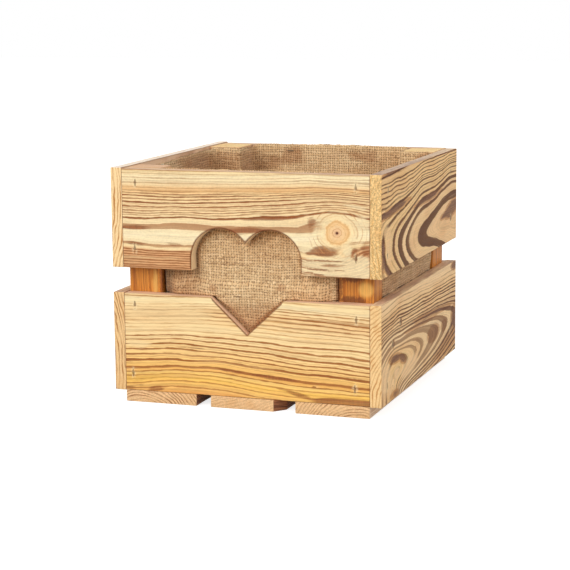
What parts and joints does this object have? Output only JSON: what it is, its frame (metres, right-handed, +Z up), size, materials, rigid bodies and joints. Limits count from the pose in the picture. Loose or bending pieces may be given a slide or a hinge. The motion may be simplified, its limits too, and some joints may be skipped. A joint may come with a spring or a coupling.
{
  "type": "slatted wooden crate with fabric liner",
  "caption": "Slatted pine crate or planter, open at the top, with corner posts, base slats, a heart cut out of its front boards and a jute liner.",
  "frame": {"origin": "middle of the outline of the boards, on the surface that the base slats stand on", "axes": "+Z up, -Y towards the front with the heart, +X to the right as seen from the front"},
  "size_m": [0.24, 0.25, 0.203],
  "materials": {
    "pine_front": "flamed and brushed pine, bare, satin",
    "pine_side": "flamed and brushed pine with dark bands, bare, satin",
    "pine_post": "flamed pine, bare, satin",
    "pine_slat": "sawn pine, lightly flamed, bare",
    "jute": "plain-woven natural jute, matt",
    "staple_wire": "dull galvanised steel"
  },
  "bodies": {
    "root": {"board_front_upper": "pine_front", "board_front_lower": "pine_front", "board_back_upper": "pine_front", "board_back_lower": "pine_front", "board_left_upper": "pine_side", "board_left_lower": "pine_side", "board_right_upper": "pine_side", "board_right_lower": "pine_side", "post_front_left": "pine_post", "post_front_right": "pine_post", "post_back_left": "pine_post", "post_back_right": "pine_post", "slat_left": "pine_slat", "slat_middle": "pine_slat", "slat_right": "pine_slat", "liner_wall": "jute", "liner_base": "jute", "staple_front_upper_1": "staple_wire", "staple_front_upper_2": "staple_wire", "staple_front_upper_3": "staple_wire", "staple_front_upper_4": "staple_wire", "staple_front_lower_1": "staple_wire", "staple_front_lower_2": "staple_wire", "staple_front_lower_3": "staple_wire", "staple_front_lower_4": "staple_wire", "staple_back_upper_1": "staple_wire", "staple_back_upper_2": "staple_wire", "staple_back_upper_3": "staple_wire", "staple_back_upper_4": "staple_wire", "staple_back_lower_1": "staple_wire", "staple_back_lower_2": "staple_wire", "staple_back_lower_3": "staple_wire", "staple_back_lower_4": "staple_wire", "staple_right_upper_1": "staple_wire", "staple_right_upper_2": "staple_wire", "staple_right_upper_3": "staple_wire", "staple_right_upper_4": "staple_wire", "staple_right_lower_1": "staple_wire", "staple_right_lower_2": "staple_wire", "staple_right_lower_3": "staple_wire", "staple_right_lower_4": "staple_wire", "staple_right_lower_stray": "staple_wire", "staple_left_upper_1": "staple_wire", "staple_left_upper_2": "staple_wire", "staple_left_upper_3": "staple_wire", "staple_left_upper_4": "staple_wire", "staple_left_lower_1": "staple_wire", "staple_left_lower_2": "staple_wire", "staple_left_lower_3": "staple_wire", "staple_left_lower_4": "staple_wire", "staple_slat_left_front": "staple_wire", "staple_slat_middle_front": "staple_wire", "staple_slat_right_front": "staple_wire", "staple_slat_left_back": "staple_wire", "staple_slat_middle_back": "staple_wire", "staple_slat_right_back": "staple_wire", "staple_liner_front": "staple_wire", "staple_liner_back": "staple_wire", "staple_liner_left": "staple_wire", "staple_liner_right": "staple_wire"}
  },
  "joints": []
}
